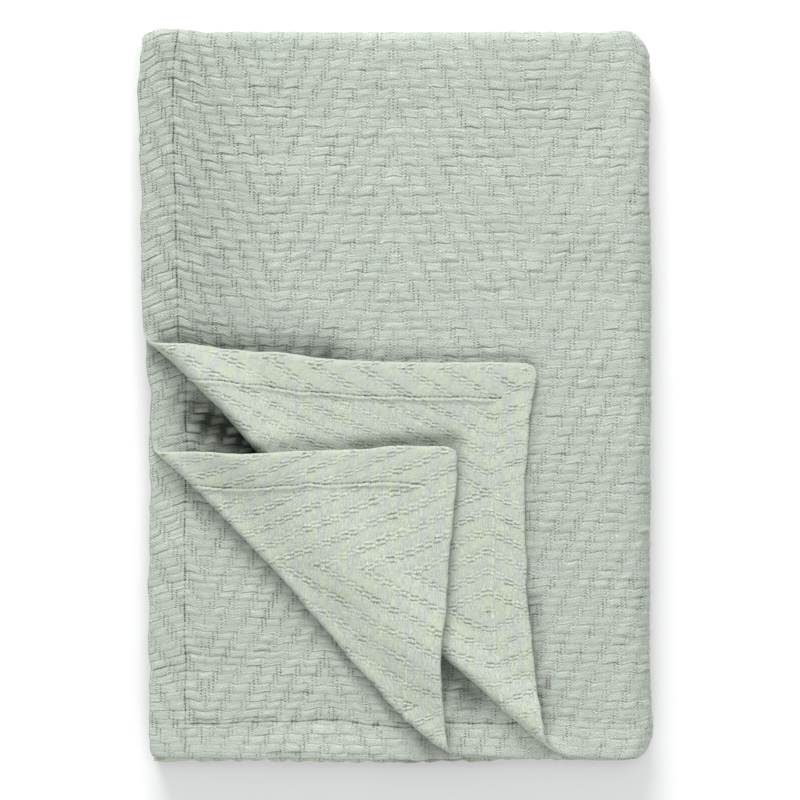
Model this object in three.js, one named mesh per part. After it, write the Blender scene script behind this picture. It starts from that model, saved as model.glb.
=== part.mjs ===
// A quilted cotton bedspread, folded twice each way into a bundle sixteen
// layers deep, with the corners of its two uppermost layers turned up.
// The whole cloth is one sheet of even thickness: it is laid out flat, cut into
// cells along its folds, and each corner of each cell is carried through the
// four folds and the turned corners. Millimetres, +Z up, origin at the middle
// of the underside.

import * as THREE from "three";

// ---- driving dimensions ------------------------------------------------------
const CLOTH = 2.0; // thickness of the quilted cloth
const AIR = 0.7; // air between two neighbouring layers
const PITCH = CLOTH + AIR;

const WIDTH = 450.6; // the folded bundle, left to right
const LENGTH = 642.4; // the folded bundle, front to back
const SIDE_IN = 9.5; // the layers under the top one lie this far inside its left edge
const FOOT_IN = 2.5; // the low folds at the front lie this far inside the outline
const HEM = 30; // width of the turned hem, marked here by a line of cells

// Sides of each rounded fold, seen in section (even, so one corner is outermost)
const SIDES = { one: 4, two: 4, four: 6, eight: 8 };

// Outline of the cloth's own four edges: how far an edge lies inside the ideal
// one (mm, outward is negative) at a distance along it from the corner named.
const EDGES = {
  // the edge that starts at the top layer's corner and runs back along its left
  firstSide: [
    { along: 0, inside: 9.0 },
    { along: 100, inside: 13.0 },
    { along: 200, inside: 15.5 },
    { along: 270, inside: 13.0 },
    { along: 340, inside: 6.5 },
    { along: 376, inside: 3.6 },
    { along: 450, inside: 2.2 },
    { along: 520, inside: 0.4 },
    { along: 590, inside: -1.2 },
    { along: 632, inside: 1.0 },
    { along: 664, inside: 3.0 },
    { along: 760, inside: 11.0 },
    { along: 1250, inside: 10.5 },
    { along: 1500, inside: 12.0 },
    { along: 2000, inside: 10.8 },
    { along: 2586, inside: 11.6 },
  ],
  // the edge on the other long side: second layer first, then the third
  lastSide: [
    { along: 0, inside: -6.0 },
    { along: 50, inside: -4.5 },
    { along: 110, inside: 0.4 },
    { along: 200, inside: 4.6 },
    { along: 262, inside: 2.6 },
    { along: 288, inside: 0.8 },
    { along: 319, inside: 1.6 },
    { along: 355, inside: -4.0 },
    { along: 420, inside: -2.0 },
    { along: 632, inside: 1.0 },
    { along: 1286, inside: 1.5 },
    { along: 1950, inside: 1.4 },
    { along: 2250, inside: 0.8 },
    { along: 2420, inside: -0.4 },
    { along: 2586, inside: -1.0 },
  ],
  // the edge along the front: top layer first, round the right, then the second
  firstFoot: [
    { along: 0, inside: 19.0 },
    { along: 60, inside: 22.5 },
    { along: 110, inside: 24.5 },
    { along: 200, inside: 18.5 },
    { along: 280, inside: 15.0 },
    { along: 340, inside: 9.0 },
    { along: 376, inside: 5.8 },
    { along: 400, inside: 4.0 },
    { along: 429, inside: 2.2 },
    { along: 493, inside: 2.2 },
    { along: 900, inside: 3.2 },
    { along: 1320, inside: 2.2 },
    { along: 1390, inside: 2.2 },
    { along: 1500, inside: 3.4 },
    { along: 1560, inside: 4.0 },
    { along: 1640, inside: 5.4 },
    { along: 1730, inside: 4.2 },
    { along: 1816, inside: 4.0 },
  ],
  // the edge that comes to lie at the front on the third and fourth layers
  lastFoot: [
    { along: 0, inside: 3.2 },
    { along: 429, inside: 2.2 },
    { along: 493, inside: 2.2 },
    { along: 900, inside: 3.4 },
    { along: 1320, inside: 2.2 },
    { along: 1390, inside: 2.2 },
    { along: 1560, inside: 0.2 },
    { along: 1700, inside: 1.0 },
    { along: 1816, inside: 0.6 },
  ],
};

// A turned corner's fold, as seen from above: it runs from `from` to `to` in
// the bundle's plan, and at a distance along that line its outermost point lies
// `out` beyond the line (towards the corner) with a roll of radius `roll`.
const TURNS = {
  first: {
    from: [-220.0, 49.3],
    to: [134.6, -316.8],
    fold: [
      { along: 0, out: 0.0, roll: 8.2 },
      { along: 45, out: -3.2, roll: 8.4 },
      { along: 88, out: -4.4, roll: 8.4 },
      { along: 141, out: -1.6, roll: 7.0 },
      { along: 200, out: 1.0, roll: 5.4 },
      { along: 300, out: 4.6, roll: 5.0 },
      { along: 379, out: 5.7, roll: 5.6 },
      { along: 440, out: 1.6, roll: 5.6 },
      { along: 478, out: -2.0, roll: 8.4 },
      { along: 512, out: -6.5, roll: 12.4 }, // it opens out where it meets the front
    ],
    rest: PITCH, // middle of the turned cloth above the middle of its own layer
    settle: 5.0, // it comes down to that height within this many radii
    edgeLift: 1.6, // its free edges stand off by this much more
    lines: [0, 1 / 6, 2 / 6, 3 / 6, 4 / 6, 5 / 6, 1], // cell lines round the roll
    after: [0.3, 0.6, 1.0], // cell lines on the way down, as a share of it
  },
  second: {
    from: [-213.8, -48.0],
    to: [49.3, -316.8],
    fold: [
      { along: 0, out: 0.0, roll: 5.4 },
      { along: 40, out: -2.8, roll: 5.2 },
      { along: 85, out: -3.1, roll: 4.2 },
      { along: 146, out: -3.2, roll: 3.6 },
      { along: 201, out: 0.2, roll: 3.2 },
      { along: 258, out: 4.2, roll: 3.0 },
      { along: 314, out: 6.4, roll: 3.4 },
      { along: 350, out: 4.0, roll: 5.2 },
      { along: 378, out: -0.5, roll: 8.2 },
    ],
    rest: 3.1, // above the middle of the first turned corner
    settle: 7.0,
    rise: 46, // it climbs onto the first turned corner within this distance
    edgeLift: 2.2,
    lines: [0, 1 / 4, 2 / 4, 3 / 4, 1],
    after: [0.35, 0.7, 1.0, 1.45],
  },
};

// The bundle's outline is a little uneven: how far each side stands out (mm).
const DRIFT = {
  back: [
    { at: -200, out: 2.0 },
    { at: -150, out: 0.6 },
    { at: -60, out: 0.4 },
    { at: 60, out: 0.4 },
    { at: 170, out: 0.2 },
    { at: 205, out: 1.0 },
  ],
  front: [
    { at: -215, out: -0.7 },
    { at: -100, out: 0.0 },
    { at: 0, out: 1.0 },
    { at: 60, out: -1.2 },
    { at: 200, out: 0.0 },
  ],
  right: [
    { at: -300, out: 0.4 },
    { at: -200, out: -0.6 },
    { at: 0, out: 0.0 },
    { at: 100, out: 0.5 },
    { at: 200, out: -0.6 },
    { at: 300, out: -0.4 },
  ],
};

// Rounded corners of the bundle in plan: how far the very corner is pulled in,
// and the two small bulges beside them
const CORNERS = [
  { x: -1, y: 1, inside: 0, radius: 30, pull: 2.6, fade: 60 },
  { x: 1, y: 1, inside: 0, radius: 28, pull: 5.6, fade: 110 },
  { x: 1, y: -1, inside: 0, radius: 20, pull: 5.5, fade: 90 },
  { x: -1, y: -1, inside: SIDE_IN, radius: 8, pull: 3, fade: 40 },
];
const BULGES = [
  { x: 205, y: 318, outX: 0.4, outY: 2.2, spread: 14 },
  { x: 222, y: -290, outX: 2.4, outY: 0, spread: 13 },
];

// Slow swell of the upper layers: the stack is this much thicker or thinner
const SWELL = [
  { x: -60, y: 150, spread: 170, rise: 0.03 },
  { x: 150, y: -60, spread: 150, rise: 0.035 },
  { x: -200, y: 250, spread: 90, rise: -0.03 },
  { x: 190, y: 300, spread: 80, rise: -0.04 },
  { x: 60, y: 300, spread: 90, rise: 0.02 },
];

// ---- the four folds, in the order in which they are made -----------------------
const reach = (layers) => layers * PITCH - AIR / 2; // outermost radius of a fold
const taken = (layers) => Math.PI * (reach(layers) - CLOTH / 2); // cloth it takes

const RIGHT = WIDTH - reach(8); // where the last fold begins
const BACK = LENGTH - reach(4); // where the third fold begins
const LEFT = SIDE_IN + reach(1); // centre of the first fold, once folded
const FRONT = FOOT_IN + reach(2); // centre of the second fold, once folded

const FOLDS = [
  { axis: "x", layers: 1, at: RIGHT + taken(8) + RIGHT - LEFT },
  { axis: "y", layers: 2, at: BACK + taken(4) + BACK - FRONT },
  { axis: "y", layers: 4, at: BACK },
  { axis: "x", layers: 8, at: RIGHT },
];

// The sheet laid flat
const FLAT_WIDTH = 2 * FOLDS[0].at + taken(1) - SIDE_IN;
const FLAT_LENGTH = 2 * FOLDS[1].at + taken(2);

// ---- cell lines of the flat sheet ----------------------------------------------
const evenly = (a, b, n) =>
  Array.from({ length: n }, (_, i) => a + ((b - a) * i) / n);

// One long path across the bundle and back, mirrored at its middle fold
function cellLines(panel, backPanel, start, first, last, middle, centre) {
  const arcEnd = start + taken(first.layers);
  const half = [
    ...panel,
    ...evenly(start, arcEnd, first.sides),
    ...evenly(arcEnd, middle, backPanel),
  ];
  const turned = 2 * middle + taken(last.layers);
  const arc = evenly(middle, middle + taken(last.layers), last.sides);
  return [...half, ...arc, ...half.map((p) => turned - p).reverse()].filter(
    (p) => p <= centre + 1e-6,
  );
}

const ACROSS = [0, HEM, 90, 155, 220, 285, 350, 392, 415];
const ALONG = [0, HEM, 100, 180, 260, 340, 420, 510, 580, 614];

const uLines = cellLines(
  ACROSS,
  4,
  RIGHT,
  { layers: 8, sides: SIDES.eight },
  { layers: 1, sides: SIDES.one },
  FOLDS[0].at,
  Infinity,
).map((u) => Math.min(u, FLAT_WIDTH));
const vLines = cellLines(
  ALONG,
  5,
  BACK,
  { layers: 4, sides: SIDES.four },
  { layers: 2, sides: SIDES.two },
  FOLDS[1].at,
  Infinity,
).map((v) => Math.min(v, FLAT_LENGTH));

// ---- small helpers ---------------------------------------------------------------
const clamp01 = (t) => Math.min(1, Math.max(0, t));
const ease = (t) => clamp01(t) ** 2 * (3 - 2 * clamp01(t));

// Reads a table smoothly between its rows
function read(rows, key, value, where) {
  if (where <= rows[0][key]) return rows[0][value];
  for (let i = 1; i < rows.length; i++) {
    if (where > rows[i][key]) continue;
    const [a, b] = [rows[i - 1], rows[i]];
    return (
      a[value] +
      (b[value] - a[value]) * ease((where - a[key]) / (b[key] - a[key]))
    );
  }
  return rows.at(-1)[value];
}

// ---- the flat sheet with its own uneven edges ------------------------------------
const EDGE_REACH = 170; // an edge's unevenness fades out this far into the cloth

function flatPoint(u, v) {
  const s1 = read(EDGES.firstSide, "along", "inside", v);
  const s2 = read(EDGES.lastSide, "along", "inside", v);
  const f1 = read(EDGES.firstFoot, "along", "inside", u);
  const f2 = read(EDGES.lastFoot, "along", "inside", FLAT_WIDTH - u);
  return [
    u +
      s1 * ease(1 - u / EDGE_REACH) -
      s2 * ease(1 - (FLAT_WIDTH - u) / EDGE_REACH),
    v +
      f1 * ease(1 - v / EDGE_REACH) -
      f2 * ease(1 - (FLAT_LENGTH - v) / EDGE_REACH),
  ];
}

// ---- folding ---------------------------------------------------------------------
// What lies past `at` goes round the fold's edge and back beneath the rest.
function fold(p, { axis, layers, at }) {
  const past = p[axis] - at;
  const arc = taken(layers);
  if (past > 0) {
    const radius = p.z + AIR / 2;
    if (past < arc) {
      const angle = (Math.PI * past) / arc;
      p[axis] = at + radius * Math.sin(angle);
      p.z = -AIR / 2 + radius * Math.cos(angle);
    } else {
      p[axis] = at - (past - arc);
      p.z = -AIR - p.z;
    }
  }
  p.z += layers * PITCH; // the lowest layer lies on the ground again
}

const middleOf = (layer) => (16 - layer) * PITCH + CLOTH / 2; // layer 1 is on top

// ---- turned corners ----------------------------------------------------------------
function frameOf(turn) {
  const dx = turn.to[0] - turn.from[0];
  const dy = turn.to[1] - turn.from[1];
  const l = Math.hypot(dx, dy);
  return { s: [dx / l, dy / l], n: [dy / l, -dx / l] }; // n points to the corner
}

// Distance along the fold, distance past the start of its roll, and its radius
function onFold(turn, x, y) {
  const f = frameOf(turn);
  const [rx, ry] = [x - turn.from[0], y - turn.from[1]];
  const along = rx * f.s[0] + ry * f.s[1];
  const roll = read(turn.fold, "along", "roll", along);
  const out = read(turn.fold, "along", "out", along);
  return {
    along,
    roll,
    past: rx * f.n[0] + ry * f.n[1] - out + roll + CLOTH / 2,
  };
}

// Height of the first turned corner's middle over any place in the plan
function firstHeight(x, y, settle) {
  const { roll, past } = onFold(TURNS.first, x, y);
  const back = Math.max(0, -past);
  const down = ease(back / (settle * roll));
  return (
    middleOf(1) +
    2 * roll * (1 - down) +
    TURNS.first.rest * down
  );
}

// Carries a point of a layer's corner panel round its turned fold. `off` is the
// distance above the layer's middle, `lift` what its free edge adds.
function turnUp(p, layer, turn, lift) {
  const { past, roll, along } = onFold(turn, p.x, p.y);
  if (past <= 0) return;
  const { n } = frameOf(turn);
  const off = p.z - middleOf(layer);
  const arc = Math.PI * roll;
  let across; // along n, from the start of the roll
  let height; // above the layer's middle
  if (past < arc) {
    const angle = past / roll;
    across = (roll - off) * Math.sin(angle);
    height = roll - (roll - off) * Math.cos(angle);
  } else {
    const back = past - arc;
    const heightAt = (b) => {
      const x = p.x - n[0] * (past + b);
      const y = p.y - n[1] * (past + b);
      if (turn === TURNS.first)
        return firstHeight(x, y, turn.settle) - middleOf(1);
      const k = ease(b / turn.rise);
      const over = firstHeight(x, y, turn.settle) + turn.rest - middleOf(2);
      return 2 * roll * (1 - k) + over * k;
    };
    const slope = (heightAt(back + 0.5) - heightAt(Math.max(0, back - 0.5))) /
      (back > 0.5 ? 1 : 0.5 + back);
    const q = Math.hypot(1, slope);
    across = -back - (off * slope) / q;
    height = heightAt(back) - off / q + lift * ease(back / 60);
  }
  p.x += n[0] * (across - past);
  p.y += n[1] * (across - past);
  p.z = middleOf(layer) + height;
}

// How much a free edge near this flat place stands off, from 0 to 1
const nearEdge = (across, along) =>
  Math.max(ease(1 - across / 55), 0.6 * ease(1 - along / 45));

// ---- the bundle's own unevenness ---------------------------------------------------
function settle(p) {
  // rounded corners
  for (const c of CORNERS) {
    const dx = c.x * p.x - (WIDTH / 2 - c.inside - c.radius);
    const dy = c.y * p.y - (LENGTH / 2 - c.radius);
    const pull = (to, near) =>
      c.pull * (Math.max(0, near) / c.radius) ** 2 * ease(1 + to / c.fade);
    const [px, py] = [pull(dx, dy), pull(dy, dx)];
    p.x -= c.x * px;
    p.y -= c.y * py;
  }
  // sides that wander a little
  const toRight = clamp01(p.x / WIDTH + 0.5);
  const toBack = clamp01(p.y / LENGTH + 0.5);
  const x = p.x + read(DRIFT.right, "at", "out", p.y) * toRight;
  const y =
    p.y +
    read(DRIFT.back, "at", "out", p.x) * toBack -
    read(DRIFT.front, "at", "out", p.x) * (1 - toBack);
  p.x = x;
  p.y = y;
  for (const b of BULGES) {
    const k = Math.exp(-((x - b.x) ** 2 + (y - b.y) ** 2) / b.spread ** 2);
    p.x += b.outX * k;
    p.y += b.outY * k;
  }
  // slow swell of the stack
  let rise = 0;
  for (const w of SWELL)
    rise += w.rise * Math.exp(-((x - w.x) ** 2 + (y - w.y) ** 2) / w.spread ** 2);
  p.z *= 1 + rise;
}

const inFirst = (u, v) => u <= RIGHT + 1e-6 && v <= BACK + 1e-6;
const secondU = (x) => 2 * FOLDS[0].at + taken(1) - x; // flat place of a second-layer x
const inSecond = (u, v) => u >= secondU(RIGHT) - 1e-6 && v <= BACK + 1e-6;

// A point of the cloth, `side` +1 on its face and -1 on its back
function place(u, v, side) {
  const [fu, fv] = flatPoint(u, v);
  const p = { x: fu, y: fv, z: side > 0 ? CLOTH : 0 };
  FOLDS.forEach((f) => fold(p, f));
  p.x -= WIDTH / 2;
  p.y -= LENGTH / 2;
  if (inFirst(u, v)) turnUp(p, 1, TURNS.first, TURNS.first.edgeLift * nearEdge(u, v));
  if (inSecond(u, v))
    turnUp(p, 2, TURNS.second, TURNS.second.edgeLift * nearEdge(FLAT_WIDTH - u, v));
  settle(p);
  return p;
}

// ---- cells, cut further along the turned folds -----------------------------------------
const points = []; // [u, v]
const grid = uLines.map((u) => vLines.map((v) => points.push([u, v]) - 1));
let cells = [];
for (let i = 0; i + 1 < uLines.length; i++)
  for (let j = 0; j + 1 < vLines.length; j++)
    cells.push([
      grid[i][j],
      grid[i + 1][j],
      grid[i + 1][j + 1],
      grid[i][j + 1],
    ]);

// Splits every cell that `inside` accepts where `field` passes through zero
function cut(inside, field) {
  const made = new Map();
  const at = (i) => field(...points[i]);
  const crossing = (i, j) => {
    const [a, b] = i < j ? [i, j] : [j, i];
    const key = a + "/" + b;
    if (!made.has(key)) {
      let [low, high] = [0, 1];
      const below = at(a) < 0;
      const mix = (t) => [
        points[a][0] + t * (points[b][0] - points[a][0]),
        points[a][1] + t * (points[b][1] - points[a][1]),
      ];
      for (let k = 0; k < 40; k++) {
        const t = (low + high) / 2;
        if (field(...mix(t)) < 0 === below) low = t;
        else high = t;
      }
      made.set(key, points.push(mix((low + high) / 2)) - 1);
    }
    return made.get(key);
  };
  const next = [];
  for (const cell of cells) {
    const signs = cell.map((i) => at(i) < 0);
    if (!cell.every((i) => inside(...points[i])) || signs.every((s) => s === signs[0])) {
      next.push(cell);
      continue;
    }
    const parts = [[], []];
    cell.forEach((i, k) => {
      const j = cell[(k + 1) % cell.length];
      parts[signs[k] ? 1 : 0].push(i);
      if (signs[k] !== signs[(k + 1) % cell.length]) {
        const c = crossing(i, j);
        parts[0].push(c);
        parts[1].push(c);
      }
    });
    next.push(...parts.filter((q) => q.length > 2));
  }
  cells = next;
}

function cutAlong(turn, inside, toPlan) {
  const where = (u, v) => {
    const [fu, fv] = flatPoint(u, v);
    return onFold(turn, toPlan(fu) - WIDTH / 2, fv - LENGTH / 2);
  };
  for (const share of turn.lines)
    cut(inside, (u, v) => {
      const w = where(u, v);
      return w.past - share * Math.PI * w.roll;
    });
  for (const share of turn.after)
    cut(inside, (u, v) => {
      const w = where(u, v);
      const length = turn.rise ?? turn.settle * w.roll;
      return w.past - Math.PI * w.roll - share * length;
    });
}
cutAlong(TURNS.first, inFirst, (u) => u);
cutAlong(TURNS.second, inSecond, secondU);

// ---- the closed solid ----------------------------------------------------------------
function clothGeometry() {
  const faces = [1, -1].map((side) =>
    points.map(([u, v]) => place(u, v, side)),
  );
  const out = [];
  const put = (...corners) => {
    for (const p of corners) out.push(p.x, p.y, p.z);
  };
  const rim = new Map();
  for (const cell of cells) {
    for (let k = 1; k + 1 < cell.length; k++) {
      put(faces[0][cell[0]], faces[0][cell[k]], faces[0][cell[k + 1]]);
      put(faces[1][cell[0]], faces[1][cell[k + 1]], faces[1][cell[k]]);
    }
    cell.forEach((a, k) => {
      const b = cell[(k + 1) % cell.length];
      if (!rim.delete(b + "/" + a)) rim.set(a + "/" + b, [a, b]);
    });
  }
  for (const [a, b] of rim.values()) {
    put(faces[0][a], faces[1][a], faces[1][b]);
    put(faces[0][a], faces[1][b], faces[0][b]);
  }
  const geometry = new THREE.BufferGeometry();
  geometry.setAttribute("position", new THREE.Float32BufferAttribute(out, 3));
  geometry.computeVertexNormals();
  return geometry;
}

const bedspread = new THREE.Mesh(
  clothGeometry(),
  new THREE.MeshStandardMaterial({
    name: "sage_cotton",
    color: 0xbcc4ba,
    roughness: 0.92,
    metalness: 0,
    side: THREE.FrontSide,
  }),
);
bedspread.name = "bedspread";

const part = new THREE.Group();
part.name = "folded_bedspread";
part.add(bedspread);

export default part;
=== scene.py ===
import math

import bpy
import numpy as np
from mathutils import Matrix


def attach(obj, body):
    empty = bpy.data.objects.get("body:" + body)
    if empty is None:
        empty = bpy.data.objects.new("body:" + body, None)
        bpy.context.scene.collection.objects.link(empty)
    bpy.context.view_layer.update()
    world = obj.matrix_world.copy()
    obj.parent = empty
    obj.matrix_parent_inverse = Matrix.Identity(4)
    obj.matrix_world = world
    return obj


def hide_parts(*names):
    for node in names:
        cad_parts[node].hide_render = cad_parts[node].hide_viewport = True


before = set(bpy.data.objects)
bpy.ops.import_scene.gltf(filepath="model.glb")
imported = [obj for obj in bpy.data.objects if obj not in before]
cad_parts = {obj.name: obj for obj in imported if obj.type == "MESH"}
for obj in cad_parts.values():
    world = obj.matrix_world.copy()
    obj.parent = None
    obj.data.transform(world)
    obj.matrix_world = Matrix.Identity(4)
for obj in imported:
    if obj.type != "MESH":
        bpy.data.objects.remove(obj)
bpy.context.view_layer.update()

# A folded cotton bedspread seen from straight above. The cloth is one closed sheet, laid out flat, folded twice each
# way, with the corners of its two upper layers turned up. All sizes here are millimetres, until the mesh is made.

# ---- sizes of the folded sheet, as its solid has them ---------------------------------------------------------------
CLOTH, AIR = 2.0, 0.7  # thickness of the cloth, air between two layers
PITCH = CLOTH + AIR
WIDTH, LENGTH = 450.6, 642.4  # the folded bundle
SIDE_IN, FOOT_IN = 9.5, 2.5  # how far inside the outline the lower layers and the low front folds lie
EDGE_REACH = 170  # an edge's unevenness fades out this far into the cloth


def rows(*lines):
    """A short table: one line per place, its first column the place along an edge or fold."""
    return np.array(lines, float)


# columns: along the edge, how far inside the ideal edge it lies
FIRST_SIDE = rows(
    (0, 9.0), (100, 13.0), (200, 15.5), (270, 13.0), (340, 6.5), (376, 3.6), (450, 2.2), (520, 0.4), (590, -1.2),
    (632, 1.0), (664, 3.0), (760, 11.0), (1250, 10.5), (1500, 12.0), (2000, 10.8), (2586, 11.6),
)
LAST_SIDE = rows(
    (0, -6.0), (50, -4.5), (110, 0.4), (200, 4.6), (262, 2.6), (288, 0.8), (319, 1.6), (355, -4.0), (420, -2.0),
    (632, 1.0), (1286, 1.5), (1950, 1.4), (2250, 0.8), (2420, -0.4), (2586, -1.0),
)
FIRST_FOOT = rows(
    (0, 19.0), (60, 22.5), (110, 24.5), (200, 18.5), (280, 15.0), (340, 9.0), (376, 5.8), (400, 4.0), (429, 2.2),
    (493, 2.2), (900, 3.2), (1320, 2.2), (1390, 2.2), (1500, 3.4), (1560, 4.0), (1640, 5.4), (1730, 4.2), (1816, 4.0),
)
LAST_FOOT = rows(
    (0, 3.2), (429, 2.2), (493, 2.2), (900, 3.4), (1320, 2.2), (1390, 2.2), (1560, 0.2), (1700, 1.0), (1816, 0.6),
)

# The turned corners' folds; columns: along the fold, out beyond its line, radius of its roll
TURN_ONE = dict(
    start=(-220.0, 49.3), end=(134.6, -316.8), rest=PITCH + 0.7, settle=5.0, lift=2.2, layer=1,
    fold=rows((0, 0.0, 8.2), (45, -3.2, 8.4), (88, -4.4, 8.4), (141, -1.6, 7.0), (200, 1.0, 5.4), (300, 4.6, 5.0),
              (379, 5.7, 5.6), (440, 1.6, 5.6), (478, -2.0, 8.4), (512, -6.5, 12.4)),
)
TURN_TWO = dict(
    start=(-213.8, -48.0), end=(49.3, -316.8), rest=3.1 + 0.7, settle=7.0, lift=2.6, rise=46.0, layer=2,
    fold=rows((0, 0.0, 5.4), (40, -2.8, 5.2), (85, -3.1, 4.2), (146, -3.2, 3.6), (201, 0.2, 3.2), (258, 4.2, 3.0),
              (314, 6.4, 3.4), (350, 4.0, 5.2), (378, -0.5, 8.2)),
)

# How far each side of the bundle stands out; columns: place along it, out
DRIFT_BACK = rows((-222, 1.2), (-207, 4.6), (-195, 3.8), (-183, 3.0), (-168, 0.6), (-60, 0.8), (60, 0.8), (170, 0.4), (205, 1.2))
DRIFT_FRONT = rows((-215, -0.7), (-100, 0.0), (0, 1.0), (60, -1.2), (200, 0.0))
DRIFT_RIGHT = rows((-300, 0.4), (-200, -0.6), (0, 0.0), (100, 0.5), (200, -0.6), (300, -0.4))

# Rounded corners; columns: side in x, side in y, inside, radius, pull, fade
CORNERS = rows((-1, 1, 0, 30, 2.6, 60), (1, 1, 0, 28, 5.6, 110), (1, -1, 0, 20, 5.5, 90), (-1, -1, SIDE_IN, 8, 0.4, 40))
# Bulges; columns: x, y, out in x, out in y, spread
BULGES = rows((205, 318, 0.4, 2.2, 14), (222, -290, 2.4, 0, 13))
# Slow swell of the stack; columns: x, y, spread, share by which it is thicker
SWELL = rows(
    (-60, 150, 170, 0.03), (150, -60, 150, 0.035), (-200, 250, 90, -0.03), (190, 300, 80, -0.04), (60, 300, 90, 0.02)
)
# Soft hollows beside and between the turned corners, with painted shade in them; columns: x and y of one end and of the
# other, spread, share by which the stack is thinner, share of painted shade there, the turned corner that they lie
# under
HOLLOWS = rows(
    (-196, 41, -60, 36, 17, 0.06, 0.50, 1), (-60, 37, 118, 30, 9, 0.03, 0.22, 1),
    (-30, -45, 50, -40, 9, 0.07, 0.44, 2), (-118, -46, -40, -46, 8, 0.04, 0.26, 2),
    (-165, -22, -112, -50, 25, 0.15, 0.77, 1), (-186, -2, -128, -42, 15, 0.04, 0.34, 1),
    (54, -51, 40, -267, 5.5, 0.03, 0.22, 2), (36, -226, 66, -264, 15, 0.07, 0.50, 1),
    (-181, -82, 30, -306, 15, 0.03, 0.24, 1), (122, 10, 118, -190, 7, 0.02, 0.11, 1),
    (119, -180, 126, -286, 9, 0.03, 0.32, 1), (30, -306, 62, -316, 10, 0.0, 0.12, 1),
    (-190, 290, -172, 60, 58, 0.01, 0.15, 1), (-120, 262, 170, 268, 20, 0.0, 0.05, 1),
)


def reach(layers):
    return layers * PITCH - AIR / 2


def taken(layers):
    return math.pi * (reach(layers) - CLOTH / 2)


RIGHT, BACK = WIDTH - reach(8), LENGTH - reach(4)
LEFT, FRONT = SIDE_IN + reach(1), FOOT_IN + reach(2)
HALF_U = RIGHT + taken(8) + RIGHT - LEFT  # the fold at half the cloth's width
HALF_V = BACK + taken(4) + BACK - FRONT  # the fold at half its length
FOLDS = [(0, 1, HALF_U), (1, 2, HALF_V), (1, 4, BACK), (0, 8, RIGHT)]  # axis, layers, place
FLAT_W = 2 * HALF_U + taken(1) - SIDE_IN
FLAT_L = 2 * HALF_V + taken(2)

# ---- sizes of the weave and the hems --------------------------------------------------------------------------------
COLUMN = 3.52  # width of one column of the weave: a puff is four columns wide, with one narrow column between puffs
ROW, ROW_LOW = 8.45, 7.3  # height of a row of puffs, and the same where the cloth is more drawn together
COLUMN_0, ROW_0, ROW_LOW_0 = 1.84, -0.3, 4.3  # where the first column and row begin, from the edge
REPEAT = 5  # columns after which a row repeats
STITCH, HEM = 30.0, 33.52  # the hem's seam and its inner edge, from the edge of the cloth
STITCH_LONG = 5.0
SKEW, SEAM_DRAG = 1.2, 13.5  # how far a puff's ends lie above and below its middle; how far the seam drew its rows
# Small marks; columns: u and v in the flat cloth, half its width and height
LOOSE_THREADS = rows((1704, 2557, 7.5, 2.6), (1668, 2561, 8.5, 3.0))
MAUVE_KNOTS = rows((359, 64, 4.2, 8.5), (354, 107, 3.4, 5.5))
# Places, in columns from the edge, at which the weave's slant turns; the first zone slants as `slant` says
CHEVRONS = {
    "first": dict(slant=1, at=[1, 33, 63, 98, 127, 158, 189, 220, 251]),
    "second": dict(slant=-1, at=[0, 28, 59, 90, 121, 152, 183, 214, 245]),
    "third": dict(slant=1, at=[-17, 13, 43, 74, 105, 136, 167, 198, 229]),
}


def ease(t):
    t = np.clip(t, 0, 1)
    return t * t * (3 - 2 * t)


def read(table, where, column=1):
    at, value = table[:, 0], table[:, column]
    i = np.clip(np.searchsorted(at, where, side="left") - 1, 0, len(at) - 2)
    return value[i] + (value[i + 1] - value[i]) * ease((where - at[i]) / (at[i + 1] - at[i]))


def chance(i, j, seed):
    """A fixed number from 0 to 1 for each pair of whole numbers."""
    i, j = np.asarray(i).astype(np.int64), np.asarray(j).astype(np.int64)
    h = (i * 374761393 + j * 668265263 + seed * 974634777) & 0xFFFFFFFF
    h = ((h ^ (h >> 13)) * 1274126177) & 0xFFFFFFFF
    h = ((h ^ (h >> 15)) * 2246822519) & 0xFFFFFFFF
    return ((h ^ (h >> 16)) & 0xFFFFFF) / 0x1000000


def noise(x, y, seed):
    """Smooth, from about -1 to 1, changing over one unit."""
    i, j = np.floor(x), np.floor(y)
    s, t = ease(x - i), ease(y - j)
    a = chance(i, j, seed) * (1 - s) + chance(i + 1, j, seed) * s
    b = chance(i, j + 1, seed) * (1 - s) + chance(i + 1, j + 1, seed) * s
    return 2 * (a * (1 - t) + b * t) - 1


# ---- the folded shape ------------------------------------------------------------------------------------------------
def flat_point(u, v):
    s1, s2 = read(FIRST_SIDE, v), read(LAST_SIDE, v)
    f1, f2 = read(FIRST_FOOT, u), read(LAST_FOOT, FLAT_W - u)
    return (
        u + s1 * ease(1 - u / EDGE_REACH) - s2 * ease(1 - (FLAT_W - u) / EDGE_REACH),
        v + f1 * ease(1 - v / EDGE_REACH) - f2 * ease(1 - (FLAT_L - v) / EDGE_REACH),
    )


def middle_of(layer):
    return (16 - layer) * PITCH + CLOTH / 2


def frame_of(turn):
    d = np.subtract(turn["end"], turn["start"])
    s = d / np.hypot(*d)
    return s, np.array([s[1], -s[0]])


def on_fold(turn, x, y):
    """Along the fold, the roll's radius there, and how far past the start of the roll."""
    s, n = frame_of(turn)
    rx, ry = x - turn["start"][0], y - turn["start"][1]
    along = rx * s[0] + ry * s[1]
    roll = read(turn["fold"], along, 2)
    out = read(turn["fold"], along, 1)
    return along, roll, rx * n[0] + ry * n[1] - out + roll + CLOTH / 2


def first_height(x, y, settle):
    _, roll, past = on_fold(TURN_ONE, x, y)
    down = ease(np.maximum(0, -past) / (settle * roll))
    return middle_of(1) + 2 * roll * (1 - down) + TURN_ONE["rest"] * down


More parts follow.
